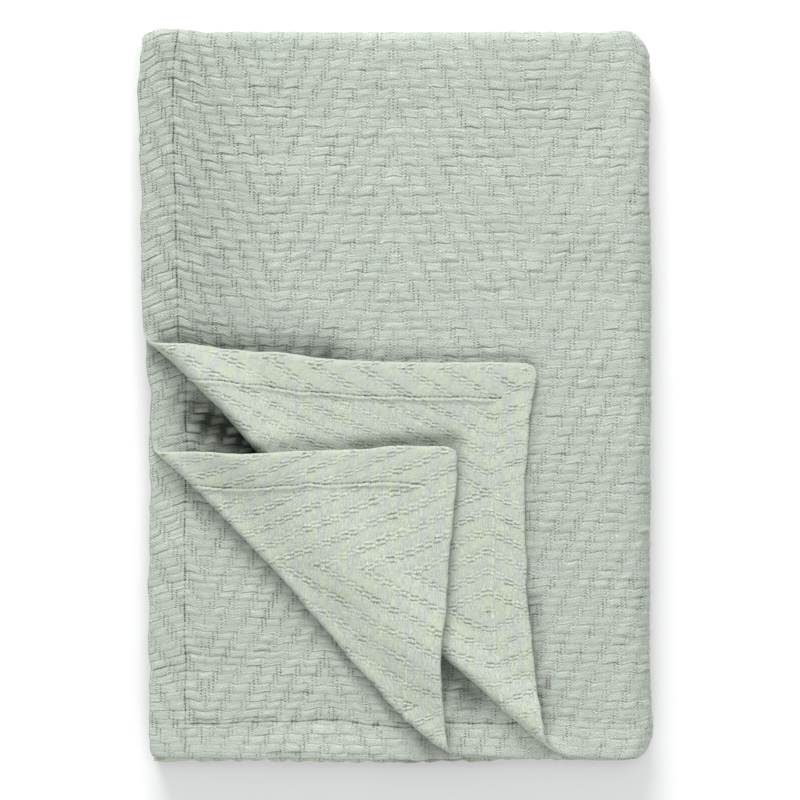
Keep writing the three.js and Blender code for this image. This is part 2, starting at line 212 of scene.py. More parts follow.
def turn_up(x, y, z, turn, lift):
    """Carries points of a layer's corner round its turned fold."""
    _, roll, past = on_fold(turn, x, y)
    _, n = frame_of(turn)
    middle = middle_of(turn["layer"])
    off = z - middle
    arc = math.pi * roll
    angle = np.clip(past, 0, None) / roll
    across_roll = (roll - off) * np.sin(angle)
    height_roll = roll - (roll - off) * np.cos(angle)
    back = np.maximum(0, past - arc)

    def height_at(b):
        px, py = x - n[0] * (past + b), y - n[1] * (past + b)
        if turn is TURN_ONE:
            return first_height(px, py, turn["settle"]) - middle
        k = ease(b / turn["rise"])
        over = first_height(px, py, turn["settle"]) + turn["rest"] - middle
        return 2 * roll * (1 - k) + over * k

    step = np.where(back > 0.5, 1.0, 0.5 + back)
    slope = (height_at(back + 0.5) - height_at(np.maximum(0, back - 0.5))) / step
    q = np.hypot(1, slope)
    on_roll = past < arc
    across = np.where(on_roll, across_roll, -back - off * slope / q)
    height = np.where(on_roll, height_roll, height_at(back) - off / q + lift * ease(back / 60))
    turned = past > 0
    x = np.where(turned, x + n[0] * (across - past), x)
    y = np.where(turned, y + n[1] * (across - past), y)
    return x, y, np.where(turned, middle + height, z)


def hollowed(x, y, held_one, held_two, buried):
    """How much thinner the stack is at a place of the plan, and how much painted shade it gets there. The buried
    layers, which are meshed in larger cells, sink in a wider dip, so that none of them comes through the one on top."""
    thinner, painted_shade = 0 * x, 0 * x
    wide = 20 * buried * ease((214 - np.abs(x)) / 22)
    for x0, y0, x1, y1, spread, share, dark, under in HOLLOWS:
        long = math.hypot(x1 - x0, y1 - y0)
        at = ((x - x0) * (x1 - x0) + (y - y0) * (y1 - y0)) / long
        aside = ((y - y0) * (x1 - x0) - (x - x0) * (y1 - y0)) / long
        beyond = np.maximum(0, np.maximum(-at, at - long) - wide)
        aside = np.maximum(0, np.abs(aside) - wide)
        k = np.exp(-((aside**2 + beyond**2) / spread**2))
        k = k * (1 - (held_two if under > 1 else np.maximum(held_one, held_two)))
        # each hollow thins the stack and adds its share of painted shade
        thinner, painted_shade = thinner + share * k, 1 - (1 - painted_shade) * (1 - dark * k)
    return thinner, painted_shade


def settle_bundle(x, y, z, held_one, held_two, buried):
    for side_x, side_y, inside, radius, pull, fade in CORNERS:
        dx = side_x * x - (WIDTH / 2 - inside - radius)
        dy = side_y * y - (LENGTH / 2 - radius)
        px = pull * (np.maximum(0, dy) / radius) ** 2 * ease(1 + dx / fade)
        py = pull * (np.maximum(0, dx) / radius) ** 2 * ease(1 + dy / fade)
        x, y = x - side_x * px, y - side_y * py
    to_right, to_back = np.clip(x / WIDTH + 0.5, 0, 1), np.clip(y / LENGTH + 0.5, 0, 1)
    x, y = (
        x + read(DRIFT_RIGHT, y) * to_right,
        y + read(DRIFT_BACK, x) * to_back - read(DRIFT_FRONT, x) * (1 - to_back),
    )
    bx, by = x.copy(), y.copy()
    for at_x, at_y, out_x, out_y, spread in BULGES:
        k = np.exp(-((bx - at_x) ** 2 + (by - at_y) ** 2) / spread**2)
        x, y = x + out_x * k, y + out_y * k
    rise = 0
    for at_x, at_y, spread, share in SWELL:
        rise = rise + share * np.exp(-((bx - at_x) ** 2 + (by - at_y) ** 2) / spread**2)
    thinner, painted_shade = hollowed(bx, by, held_one, held_two, buried)
    return x, y, z * (1 + rise - thinner), painted_shade


def folded(u, v, z):
    """A point of the flat cloth, z above its underside, in the folded bundle before its corners are turned."""
    p = [np.array(u, float), np.array(v, float)]
    z = np.array(z, float)
    for axis, layers, at in FOLDS:
        past, arc = p[axis] - at, taken(layers)
        radius, angle = z + AIR / 2, math.pi * past / arc
        bend, beyond = (past > 0) & (past < arc), past >= arc
        p[axis] = np.where(bend, at + radius * np.sin(angle), np.where(beyond, at - (past - arc), p[axis]))
        z = np.where(bend, -AIR / 2 + radius * np.cos(angle), np.where(beyond, -AIR - z, z)) + layers * PITCH
    return p[0] - WIDTH / 2, p[1] - LENGTH / 2, z


def near_edge(across, along):
    return np.maximum(ease(1 - across / 55), 0.6 * ease(1 - along / 45))


def in_first(u, v):
    return (u <= RIGHT + 1e-6) & (v <= BACK + 1e-6)


def in_second(u, v):
    return (u >= 2 * HALF_U + taken(1) - RIGHT - 1e-6) & (v <= BACK + 1e-6)


def wander(u, v):
    """How far the cloth's threads wander from straight, as seen flat."""
    zone = zone_of(u, v)
    t, b = lattice(u, v, zone)
    across, along = from_edges(u, v, zone)
    du = 1.0 * noise(u / 41, v / 33, 11) + 0.45 * noise(u / 17, v / 13, 12)
    dv = 1.25 * noise(u / 37, v / 45, 13) + 0.6 * noise(u / 15, v / 19, 14)
    du, dv = du * (0.35 + 0.65 * ease(across / 22)), dv * (0.35 + 0.65 * ease(along / 22))
    inner = ease((np.minimum(across, along) - 2) / 8)
    du = du + 0.4 * noise(u / 8.5, v / 10, 15) * inner
    # its edges ripple a little, and its corners are rounded
    side = np.where(zone == 0, 0, 9)
    du_edge = (0.9 * noise(v / 17, side, 18) + 0.6 * noise(v / 7.5, side, 19)) * ease(1 - across / 34)
    du_edge = du_edge * np.where(zone == 2, 1, 0.35 + 0.65 * ease((v - 400) / 70))
    dv_edge = (0.7 * noise(u / 17, zone * 5, 27) + 0.5 * noise(u / 7.5, zone * 5, 28)) * ease(1 - along / 34)
    turn = np.where(zone == 2, 0.9, 2.4) * np.clip(1 - across / 9, 0, 1) * np.clip(1 - along / 9, 0, 1)
    du = du + du_edge + np.where(zone == 0, turn, -turn)
    dv = dv + dv_edge + np.where(zone == 2, -turn, turn)
    # rows are drawn askew: a puff's one end lies above the other, and the narrow columns lead back
    ph = np.mod(t + b - 0.5, REPEAT)
    skew = np.where(ph < 1, 2 * ph - 1, 1 - 2 * (ph - 1) / (REPEAT - 1))
    in_body = ease((np.minimum(across, along) - STITCH) / 5)
    up = SKEW * skew * in_body + (0.7 * noise(u / 9, v / 11, 16) + 0.3 * noise(u / 5.2, v / 9, 20)) * inner
    # the seam drew the cloth along, so that rows climb to it from both sides
    uneven = 0.76 + 0.24 * noise(along / 52, across * 0, 17)
    tail = np.where(zone == 0, 46, 160)
    drawn = np.where(across < STITCH, across / STITCH, np.exp(-np.maximum(0, across - STITCH) / tail))
    up = up + SEAM_DRAG * drawn * uneven * ease((along - 28) / 55) * ease((720 - along) / 150)
    # the foot's seam is wavy
    wavy = np.exp(-(((along - STITCH) / 15) ** 2)) * ease((across - 26) / 40)
    waves = noise(across / 66 + 0.4, zone * 3, 29) + 0.35 * noise(across / 21, zone * 3, 30)
    up = up + np.where(zone == 2, 3.2, 1.2) * waves * wavy
    return du, dv + np.where(zone == 2, -up, up)


def place(u, v, z, side):
    """A point of the cloth, z above its underside when flat, where it lies in the bundle, and how much painted shade it
    gets.
    """
    buried = np.where(side == 0, 0, ease(-freedom(np.where(side < 0, -1, 1), u, v)[1] / 14 - 0.3))
    fu, fv = flat_point(u, v)
    du, dv = wander(u, v)
    x, y, z = folded(fu + du, fv + dv, z)
    held = []
    for turn, mask, lift in (
        (TURN_ONE, in_first(u, v), near_edge(u, v)),
        (TURN_TWO, in_second(u, v), near_edge(FLAT_W - u, v)),
    ):
        _, roll, past = on_fold(turn, x, y)
        held.append(np.where(mask, ease((past / (math.pi * roll) - 0.15) / 0.8), 0))
        tx, ty, tz = turn_up(x, y, z, turn, turn["lift"] * lift)
        x, y, z = np.where(mask, tx, x), np.where(mask, ty, y), np.where(mask, tz, z)
    x, y, z, painted_shade = settle_bundle(x, y, z, *held, buried)
    # the stack's own slackness: layers lie in slow waves that fade towards the ground
    up = ease(z / 30)
    slack = 0.9 * noise(x / 62, y / 48, 21) + 0.45 * noise(x / 24, y / 27, 22)
    out_x = 0.8 * noise(y / 46, z / 9, 23) + 0.45 * noise(y / 17, z / 4, 24)
    out_y = 0.5 * noise(x / 46, z / 9, 25) + 0.3 * noise(x / 17, z / 4, 26)
    rim_x, rim_y = ease((np.abs(x) - 190) / 30), ease((np.abs(y) - 285) / 30)
    return x + out_x * rim_x, y + out_y * rim_y, z + slack * up, painted_shade


# ---- what covers what, as seen from above ----------------------------------------------------------------------------
def cover(turn, x, y):
    """How deep a place in the plan lies under a turned corner, in mm; negative outside it."""
    _, roll, past = on_fold(turn, x, y)
    _, n = frame_of(turn)
    far = math.pi * roll - 2 * past
    px, py = x + n[0] * far + WIDTH / 2, y + n[1] * far + LENGTH / 2
    if turn is TURN_ONE:
        in_u, in_v = px - read(FIRST_SIDE, py), py - read(FIRST_FOOT, px)
    else:
        in_u = px - SIDE_IN - read(LAST_SIDE, py)
        in_v = py - read(FIRST_FOOT, FLAT_W - (px - SIDE_IN))
    return np.minimum(np.minimum(in_u, in_v), roll + 1 - past)


def freedom(side, u, v):
    """1 where the cloth's face lies open to view, 0 where another layer lies on it, and between the two near an edge.
    Also the same as a distance, in mm, positive where open."""
    fu, fv = flat_point(u, v)
    x, y, z = folded(fu, fv, np.where(side > 0, CLOTH, 0.0))
    one, two = on_fold(TURN_ONE, x, y)[2], on_fold(TURN_TWO, x, y)[2]
    roll_one, roll_two = on_fold(TURN_ONE, x, y)[1], on_fold(TURN_TWO, x, y)[1]
    first = (u <= HALF_U + 2) & (v <= BACK + taken(4) * 0.6)
    second = (u > HALF_U + 2) & (FLAT_W - u <= RIGHT + 1) & (v <= BACK + 1)
    third = (u > HALF_U + 2) & (FLAT_W - u <= RIGHT + 1) & (FLAT_L - v <= BACK + 1)
    hidden = np.full(u.shape, -100.0)
    # the first layer's face: open unless turned away or under a turned corner
    face_one = np.minimum(-one, -cover(TURN_ONE, x, y))
    face_one = np.where(u > RIGHT + taken(8) * 0.62, -100, face_one)
    # its back shows where it is turned up and the second corner doesn't lie on it
    tx, ty, _ = turn_up(x, y, z, TURN_ONE, 0 * x)
    back_one = np.minimum(one, -cover(TURN_TWO, tx, ty))
    # the second layer shows past the first fold, until its own; the third past the second's
    up_two = np.minimum(np.minimum(one, -two), -cover(TURN_TWO, x, y))
    turned_two = two
    up_three = two
    open_by = np.where(
        side > 0,
        np.where(first, face_one, np.where(second, turned_two, np.where(third, up_three, hidden))),
        np.where(first & in_first(u, v), back_one, np.where(second, up_two, hidden)),
    )
    return ease((open_by + 14) / 12), open_by


# ---- the weave's own grid -------------------------------------------------------------------------------------------
ZONES = ["first", "second", "third"]  # the cloth left of its middle fold, right of it in front, right of it behind


def zone_of(u, v):
    return np.where(u <= HALF_U + taken(1) / 2, 0, np.where(v <= HALF_V + taken(2) / 2, 1, 2))


def slanted(a, zone):
    """Column counted along the slant: rises by one a column in one zone of the weave, and falls in the next."""
    at = np.array(CHEVRONS[zone]["at"], float)
    sign = CHEVRONS[zone]["slant"] * (-1.0) ** np.arange(len(at) - 1)
    at = np.concatenate([[at[0] - 40], at, [at[-1] + 40]])
    sign = np.concatenate([[-sign[0]], sign, [-sign[-1]]])
    value = np.concatenate([[0], np.cumsum(np.diff(at) * sign)])
    return np.interp(a, at, value - value[1])


def from_edges(u, v, zone):
    """Distance from the cloth's nearer long edge and from its nearer short edge."""
    return np.where(zone == 0, u, FLAT_W - u), np.where(zone == 2, FLAT_L - v, v)


def lattice(u, v, zone):
    """The weave's slanted column and its row at a place of the flat cloth."""
    across, along = from_edges(u, v, zone)
    a = (across - COLUMN_0) / COLUMN
    t = np.select([zone == i for i in range(3)], [slanted(a, z) for z in ZONES])
    b = np.where(zone == 2, (along - ROW_LOW_0) / ROW_LOW, (along - ROW_0) / ROW)
    return t, b


def is_reverse(side, u, v):
    """Whether a face shows the smooth reverse of the weave."""
    zone = zone_of(u, v)
    swapped = (zone == 1) & (u > FLAT_W - 560) & (v < 760)
    return (side < 0) != swapped


def hem_lines(across, along):
    """Distance to the nearer seam, and whether the place lies in a hem."""
    return np.minimum(np.abs(across - STITCH), np.abs(along - STITCH)), np.minimum(across, along) < HEM


def puffed(u, v, zone):
    """Height of the weave's face: puffs four columns wide and a row high, with creases between the rows."""
    t, b = lattice(u, v, zone)
    across, along = from_edges(u, v, zone)
    row = np.floor(b + 1e-6)
    fb = b - row
    ph = np.mod(t + row + 1e-6, REPEAT)
    puff = np.floor((t + row + 1e-6) / REPEAT)
    seed = 40
    q = (ph - 1) / (REPEAT - 1)
    inside = np.where(ph >= 1, np.clip(1 - np.abs(2 * q - 1) ** 2.6, 0, 1), 0)
    # a puff hangs over its lower edge, so that its crest lies low and its foot is steep
    crest = 0.2 + 0.42 * chance(row, puff, seed + 13) ** 1.6
    arch = np.where(fb < crest, np.sin(0.5 * math.pi * fb / crest), np.cos(0.5 * math.pi * (fb - crest) / (1 - crest)) ** 0.8)
    size = 0.45 + 0.85 * chance(row, puff, seed)
    fuller = np.where(zone == 2, 1.05, 0.8 + 0.22 * ease(1 - (across - STITCH) / 150))
    height = fuller * size * inside * arch - 0.12 * (ph < 1)
    # the crease under and over each row, its depth its own under each puff, and greater in a few longer runs
    line = np.round(b)
    over = np.floor((t + line + 1e-6) / REPEAT)
    fine = 0.5 + 0.5 * noise(across / 9, line, seed + 1)
    run = ease((noise(across / 34, line, seed + 2) - 0.45) / 0.35)
    own = chance(line, over, seed + 10)
    depth = (0.06 + 0.72 * own**2 + 0.34 * fine * own + 0.24 * run) * np.where(ph >= 1, 1, 0.15)
    step = 0.2 * (np.floor(3 * chance(line, over, seed + 11)) - 1) * (1 - run)
    away = np.abs(b - line - step) * ROW
    crease = depth * np.exp(-((away / 1.0) ** 2))
    # many puffs are drawn into two or three smaller ridges
    mid = 0.4 + 0.34 * chance(row, puff, seed + 3) + 0.12 * noise(across / 7, row, seed + 4)
    second = np.where(chance(row, puff, seed + 5) > 0.4, 0.25 + 0.5 * chance(row, puff, seed + 6), 0.0)
    crinkle = second * inside * np.exp(-(((fb - mid) / 0.14) ** 2))
    height = height - crease - crinkle + 0.2 * noise(across / 5.5, along / 3.1, seed + 7)
    # in the side hem the rows are squeezed into slanting wrinkles; in the foot hem the cloth is held flat
    in_side, in_foot = ease((STITCH + 1 - across) / 4), ease((STITCH + 1 - along) / 4)
    to_side = ease(across / 7) * np.where(across < STITCH, 1, 0.5 * ease(1 - (across - STITCH) / 40))
    strong = 0.35 + 0.65 * ease(0.5 + 0.8 * noise(along / 22, across / 40, seed + 12))
    nearest = np.round(b)
    away = np.abs(b + 0.1 * noise(across / 9, row, seed + 8) - nearest)
    squeezed = 0.75 * np.sin(math.pi * np.clip(2 * away, 0, 1) ** 0.7) - 1.0 * np.exp(-((away / 0.12) ** 2)) * (
        0.4 + 0.6 * chance(nearest, np.floor(across / 14), seed + 14)
    )
    squeezed = squeezed * to_side * strong
    lean_foot = across - 0.45 * along + 3.0 * noise(across / 17, along / 11, seed + 9)
    drawn_foot = 0.16 * ease(1 - np.abs(along - STITCH) / 26) * np.sin(2 * math.pi * lean_foot / 11.5)
    height = height * (1 - 0.25 * in_side) * (1 - 0.12 * in_foot) + squeezed * (1 - in_foot) + drawn_foot - 0.1 * in_foot
    foot = 0.95 - 0.6 * ease((across - 310) / 50)
    for gap, deep in ((across - STITCH, 0.6), (along - STITCH, foot)):
        height = height - deep * np.exp(-((gap / 1.1) ** 2))
    return height


def smooth_reverse(u, v, zone):
    """Height of the weave's reverse: flatter, dimpled under each narrow column, with the turned hem lying on it."""
    t, b = lattice(u, v, zone)
    across, along = from_edges(u, v, zone)
    row = np.floor(b + 1e-6)
    fb = b - row
    ph = np.mod(t + row + 1e-6, REPEAT)
    seed = 60
    dimple = np.where((ph < 1.01) | (ph > 4.99), 0.34 * (1 - np.abs(2 * fb - 1) ** 3), 0)
    height = 0.12 + 0.2 * noise(across / 14, along / 4.2, seed) + 0.14 * noise(across / 6, along / 9, seed + 1) - dimple
    in_side, in_foot = ease((HEM + 0.9 - across) / 1.0), ease((HEM + 1.2 - along) / 1.4)
    hem = np.maximum(in_side, in_foot)
    thick = 0.7 * hem
    welt = 0.16 * np.maximum(
        np.exp(-(((across - HEM + 1.2) / 1.6) ** 2)) * ease((along - across + 4) / 4),
        np.exp(-(((along - HEM + 1.2) / 1.6) ** 2)) * ease((across - along + 4) / 4),
    )
    seam = np.maximum(
        np.exp(-(((across - STITCH) / 1.0) ** 2)) * ease((along - across + 2) / 2),
        np.exp(-(((along - STITCH) / 1.0) ** 2)) * ease((across - along + 2) / 2),
    )
    lean = along + 0.5 * across + 3.0 * noise(across / 15, along / 15, seed + 2)
    drawn = 0.2 * hem * ease(1 - np.abs(across - STITCH) / 26) * np.sin(2 * math.pi * lean / 9.2)
    mitre = 0.55 * np.exp(-(((across - along) / 1.5) ** 2)) * ease((HEM - across) / 3)
    under = 0.2 * np.exp(-((np.minimum(np.abs(across - HEM - 2.6), np.abs(along - HEM - 2.6)) / 1.6) ** 2)) * (1 - hem)
    return height * (1 - 0.3 * hem) + thick + welt - 0.7 * seam + drawn - mitre - under


def relief(side, u, v):
    """How far a face of the cloth stands out from the even sheet, and the same without regard to what lies on it."""
    zone = zone_of(u, v)
    free, _ = freedom(side, u, v)
    reverse = is_reverse(side, u, v)
    own = np.where(reverse, smooth_reverse(u, v, zone), puffed(u, v, zone))
    # the outer skin of the bundle: round the right-hand fold, beneath, and round the folds at the back
    outer = (side > 0) & (zone == 0) & ((u > RIGHT) | ((v > BACK) & (v < BACK + taken(4))))
    beneath = np.where(outer & (v < BACK + 2), ease((u - RIGHT - 0.78 * taken(8)) / (0.22 * taken(8))), 0)
    open_skin = np.where(outer, np.where(v > BACK + 2, 1 - ease((v - BACK - 0.8 * taken(4)) / 6), 1), 0)
    free = np.maximum(free, open_skin)
    held = np.clip(own, -0.9, 0.45) * 0.3
    return np.where(beneath > 0, own - 0.8 * beneath, own) * free + held * (1 - free), own


# ---- lines of the mesh ----------------------------------------------------------------------------------------------
# A line has a level: 0 bounds a cell, 1 to 3 are used only in cells that are to be as fine as that.
def column_lines(last):
    lines = {0.0: 0, STITCH - 1.1: 2, STITCH: 2, STITCH + 1.1: 2, HEM - 1.1: 2, HEM: 0, HEM + 1.1: 2}
    for k in range(last + 1):
        at = COLUMN_0 + COLUMN * k
        if min(abs(at - STITCH), abs(at - HEM)) > 0.3:
            lines[at] = 0 if k > 9 and (k - 9) % 6 == 0 else 1 if k % 2 == 0 and (k > 9 or k < 3) else 2
    return lines


def row_lines(row, first, last, shares):
    """`shares` gives the lines within a row, each with its level."""
    lines = {0.0: 0}
    for j in range(last + 1):
        whole = 0 if j >= 4 and (j - 4) % 3 == 0 else 1 if j > 4 or j < 2 else 2
        for share, level in {0: whole, **shares}.items():
            at = first + row * (j + share)
            if at > 0.9 and (j < last or share == 0):
                lines[at] = level
    lines[min(at for at in lines if at > 0)] = 1
    return lines


def between(a, b, cells, parts):
    """Lines strictly between a and b."""
    n = cells * parts
    return {a + (b - a) * i / n: 0 if i % parts == 0 else 1 for i in range(1, n)}


def all_lines(near_a, near_b, full, fold_at, fold_long, extra):
    lines = dict(near_a)
    lines |= {full - at: level for at, level in near_b.items()}
    stops = sorted([max(near_a), fold_at, fold_at + fold_long, full - max(near_b), *extra])
    for a, b in zip(stops, stops[1:]):
        lines[a], lines[b] = 0, 0
        if b - a < 66:
            lines |= between(a, b, 1, 9 if b - a > 60 else 7 if b - a > 20 else 6)
        else:
            lines |= between(a, b, max(1, round((b - a) / 52)), 6)
    at = np.array(sorted(lines))
    return at, np.array([lines[p] for p in at])


U_AT, U_LEVEL = all_lines(
    column_lines(141), column_lines(105), FLAT_W, HALF_U, taken(1),
    [FLAT_W + SIDE_IN - RIGHT - taken(8), FLAT_W + SIDE_IN - RIGHT],
)
V_AT, V_LEVEL = all_lines(
    row_lines(ROW, ROW_0, 79, {0.2: 3, 0.4: 3, 0.6: 2, 0.8: 3}),
    row_lines(ROW_LOW, ROW_LOW_0, 43, {0.25: 3, 0.5: 2, 0.75: 3}),
    FLAT_L, HALF_V, taken(2), [FLAT_L - BACK - taken(4), FLAT_L - BACK],
)
U_CELLS, V_CELLS = np.flatnonzero(U_LEVEL == 0), np.flatnonzero(V_LEVEL == 0)


def fineness():
    """For each side and cell, how fine it is to be across and along."""
    nu, nv = len(U_CELLS) - 1, len(V_CELLS) - 1
    u0, u1 = U_AT[U_CELLS[:-1]], U_AT[U_CELLS[1:]]
    v0, v1 = V_AT[V_CELLS[:-1]], V_AT[V_CELLS[1:]]
    found = {}
    share = np.linspace(0, 1, 6)
    su = (u0[:, None] + (u1 - u0)[:, None] * share)[:, None, :, None]
    sv = (v0[:, None] + (v1 - v0)[:, None] * share)[None, :, None, :]
    gu, gv = np.broadcast_arrays(su, sv)

    def over(low, high, a, b):
        return (high > a + 0.5) & (low < b - 0.5)

    roll_u2 = FLAT_W + SIDE_IN - RIGHT
    roll_u = over(u0, u1, RIGHT, RIGHT + taken(8)) | over(u0, u1, roll_u2 - taken(8), roll_u2)
    fold_u = over(u0, u1, HALF_U, HALF_U + taken(1))
    roll_v = over(v0, v1, BACK, BACK + taken(4))
    roll_v3 = over(v0, v1, FLAT_L - BACK - taken(4), FLAT_L - BACK)
    fold_v = over(v0, v1, HALF_V, HALF_V + taken(2))
    rim_u, rim_v = np.isin(np.arange(nu), (0, nu - 1)), np.isin(np.arange(nv), (0, nv - 1))
    for side in (1, -1):
        cu, cv = np.zeros((nu, nv), int), np.zeros((nu, nv), int)
        cu[roll_u | fold_u] = 1
        cv[:, roll_v] = 2
        cv[:, roll_v3 | fold_v] = 1
        cu[rim_u] = np.maximum(cu[rim_u], 1)
        cv[rim_u] = np.maximum(cv[rim_u], 1)
        cu[:, rim_v] = np.maximum(cu[:, rim_v], 1)
        cv[:, rim_v] = np.maximum(cv[:, rim_v], 1)
        if side > 0:
            cv[fold_u] = np.maximum(cv[fold_u], 1)
            cu[:, fold_v] = np.maximum(cu[:, fold_v], 1)
        # hidden faces where a corner turns up, and just past the turn
        x, y, _ = folded(*flat_point(gu, gv), np.full(gu.shape, 1.0))
        for turn, mask in ((TURN_ONE, in_first(gu, gv)), (TURN_TWO, in_second(gu, gv))):
            _, roll, past = on_fold(turn, x, y)
            near = (mask & (past > -4) & (past < math.pi * roll + 4)).any((2, 3))
            after = (mask & (past > 0)).any((2, 3))
            cu[after], cv[after] = np.maximum(cu[after], 1), np.maximum(cv[after], 1)
            cu[near], cv[near] = np.maximum(cu[near], 2), np.maximum(cv[near], 2)
        # the outer skin on the folds at the right and the back
        if side > 0:
            skin_right = over(u0, u1, RIGHT, RIGHT + taken(8))[:, None] & (v0 < BACK)[None]
            skin_back = (u0 < HALF_U)[:, None] & roll_v[None]
            cv[skin_right] = np.maximum(cv[skin_right], 2)
            cu[skin_right] = np.maximum(cu[skin_right], 2)
            cu[skin_back] = np.maximum(cu[skin_back], 1)
        _, shown = freedom(np.full(gu.shape, side), gu, gv)
        finest = (shown > -2).any((2, 3))
        # the middle of a turned corner is smooth, and needs fewer lines along
        smooth = np.zeros_like(finest)
        for turn, mask in ((TURN_ONE, in_first(gu, gv)), (TURN_TWO, in_second(gu, gv))):
            _, roll, past = on_fold(turn, x, y)
            smooth |= (mask & (past > math.pi * roll + 2)).all((2, 3))
        smooth &= ~(rim_u[:, None] | rim_v[None])
        cu[finest] = 2
        cv[finest] = np.where(smooth[finest], 2, 3)
        found[side] = (cu, cv)
    return found


def build():
    """The whole closed sheet: places (side, u, v) of its points, and its faces."""
    fine = fineness()
    nu, nv = len(U_CELLS) - 1, len(V_CELLS) - 1
    points, faces, face_side = [], [], []
    index = {1: np.full((len(U_AT), len(V_AT)), -1), -1: np.full((len(U_AT), len(V_AT)), -1)}

    def point(side, i, j):
        if index[side][i, j] < 0:
            index[side][i, j] = len(points)
            points.append((side, U_AT[i], V_AT[j]))
        return index[side][i, j]

    def used(levels, a, b, level):
        inner = np.arange(a + 1, b)
        return [a, *inner[levels[a + 1 : b] <= level], b]

    # how fine each edge between two cells is; the sheet's own edges are alike on both sides
    edge_u, edge_v = {}, {}
    for side, (cu, cv) in fine.items():
        eu, ev = np.zeros((nu, nv + 1), int), np.zeros((nu + 1, nv), int)
        eu[:, :-1], ev[:-1] = cu, cv
        eu[:, 1:], ev[1:] = np.maximum(eu[:, 1:], cu), np.maximum(ev[1:], cv)
        edge_u[side], edge_v[side] = eu, ev
    for j in (0, nv):
        edge_u[1][:, j] = edge_u[-1][:, j] = np.maximum(edge_u[1][:, j], edge_u[-1][:, j])
    for i in (0, nu):
        edge_v[1][i] = edge_v[-1][i] = np.maximum(edge_v[1][i], edge_v[-1][i])

    for side, (cu, cv) in fine.items():
        eu, ev = edge_u[side], edge_v[side]
        for i in range(nu):
            ia, ib = U_CELLS[i], U_CELLS[i + 1]
            for j in range(nv):
                ja, jb = V_CELLS[j], V_CELLS[j + 1]
                us, vs = used(U_LEVEL, ia, ib, cu[i, j]), used(V_LEVEL, ja, jb, cv[i, j])
                plain = eu[i, j] == eu[i, j + 1] == cu[i, j] and ev[i, j] == ev[i + 1, j] == cv[i, j]
                for a, b in zip(us, us[1:]):
                    for c, d in zip(vs, vs[1:]):
                        loop = [(a, c), (b, c), (b, d), (a, d)]
                        if not plain:
                            low = used(U_LEVEL, a, b, eu[i, j])[1:-1] if c == ja else []
                            high = used(U_LEVEL, a, b, eu[i, j + 1])[1:-1] if d == jb else []
                            left = used(V_LEVEL, c, d, ev[i, j])[1:-1] if a == ia else []
                            right = used(V_LEVEL, c, d, ev[i + 1, j])[1:-1] if b == ib else []
                            loop = [
                                (a, c), *((k, c) for k in low), (b, c), *((b, k) for k in right),
                                (b, d), *((k, d) for k in reversed(high)), (a, d), *((a, k) for k in reversed(left)),
                            ]
                        ring = [point(side, *p) for p in loop]
                        if len(ring) == 4:
                            made = [ring]
                        else:
                            centre = len(points)
                            points.append((side, (U_AT[a] + U_AT[b]) / 2, (V_AT[c] + V_AT[d]) / 2))
                            made = [[p, q, centre] for p, q in zip(ring, ring[1:] + ring[:1])]
                        faces += made if side > 0 else [f[::-1] for f in made]
                        face_side += [side] * len(made)

    # the rim: round from the face to the back, with one row of points at its outermost
    def along(cells, levels, edge):
        out = []
        for k in range(len(cells) - 1):
            out += used(levels, cells[k], cells[k + 1], edge[k])[:-1]
        return out + [cells[-1]]

    far_u, far_v = len(U_AT) - 1, len(V_AT) - 1
    ring = (
        [(i, 0) for i in along(U_CELLS, U_LEVEL, edge_u[1][:, 0])][:-1]
        + [(far_u, j) for j in along(V_CELLS, V_LEVEL, edge_v[1][-1])][:-1]
        + [(i, far_v) for i in along(U_CELLS, U_LEVEL, edge_u[1][:, -1])][:0:-1]
        + [(0, j) for j in along(V_CELLS, V_LEVEL, edge_v[1][0])][:0:-1]
    )
    middle = len(points)
    for i, j in ring:
        out_u, out_v = int(i == far_u) - int(i == 0), int(j == far_v) - int(j == 0)
        shift = 0.55 if out_u and out_v else 0.8
        points.append((0, U_AT[i] + shift * out_u, V_AT[j] + shift * out_v))
    n = len(ring)
    for k in range(n):
        m = (k + 1) % n
        f0, f1 = index[1][ring[k]], index[1][ring[m]]
        b0, b1 = index[-1][ring[k]], index[-1][ring[m]]
        faces += [[f1, f0, middle + k, middle + m], [middle + m, middle + k, b0, b1]]
        face_side += [0, 0]
    return np.array(points), faces, np.array(face_side)


# ---- the cloth -------------------------------------------------------------------------------------------------------
POINTS, FACES, FACE_SIDE = build()
SIDE, FLAT_U, FLAT_V = POINTS.T
OUT, OWN = np.zeros(len(POINTS)), np.zeros(len(POINTS))
for face in (1, -1):
    of_face = SIDE == face
    here = np.full(of_face.sum(), face)
    OUT[of_face], OWN[of_face] = relief(here, FLAT_U[of_face], FLAT_V[of_face])


def shaped():
    """Every point of the cloth, in mm."""
    u, v = FLAT_U.copy(), FLAT_V.copy()
    at_edge = (SIDE != 0) & ((u <= 0) | (u >= FLAT_W) | (v <= 0) | (v >= FLAT_L))
    half = (CLOTH / 2 + OUT) * np.where(at_edge, 0.65, 1)
    u = np.where(at_edge, np.clip(u, 0.3, FLAT_W - 0.3), u)
    v = np.where(at_edge, np.clip(v, 0.3, FLAT_L - 0.3), v)
    x, y, z, painted_shade = place(u, v, CLOTH / 2 + SIDE * half, SIDE)
    return np.stack([x, y, np.maximum(z, 0)], 1), painted_shade


CO, PAINTED_SHADE = shaped()
CORNER_POINT = np.concatenate([np.array(f) for f in FACES])
CORNERS_OF = np.array([len(f) for f in FACES])
CORNER_FACE = np.repeat(np.arange(len(FACES)), CORNERS_OF)
FIRST_CORNER = np.concatenate([[0], np.cumsum(CORNERS_OF)[:-1]])


def face_mean(values):
    return np.add.reduceat(values[CORNER_POINT], FIRST_CORNER) / CORNERS_OF


FACE_U, FACE_V = face_mean(FLAT_U), face_mean(FLAT_V)
# the rim's two halves belong to the face that they run up to
FACE_OF = np.where(FACE_SIDE != 0, FACE_SIDE, np.sign(face_mean(SIDE)))


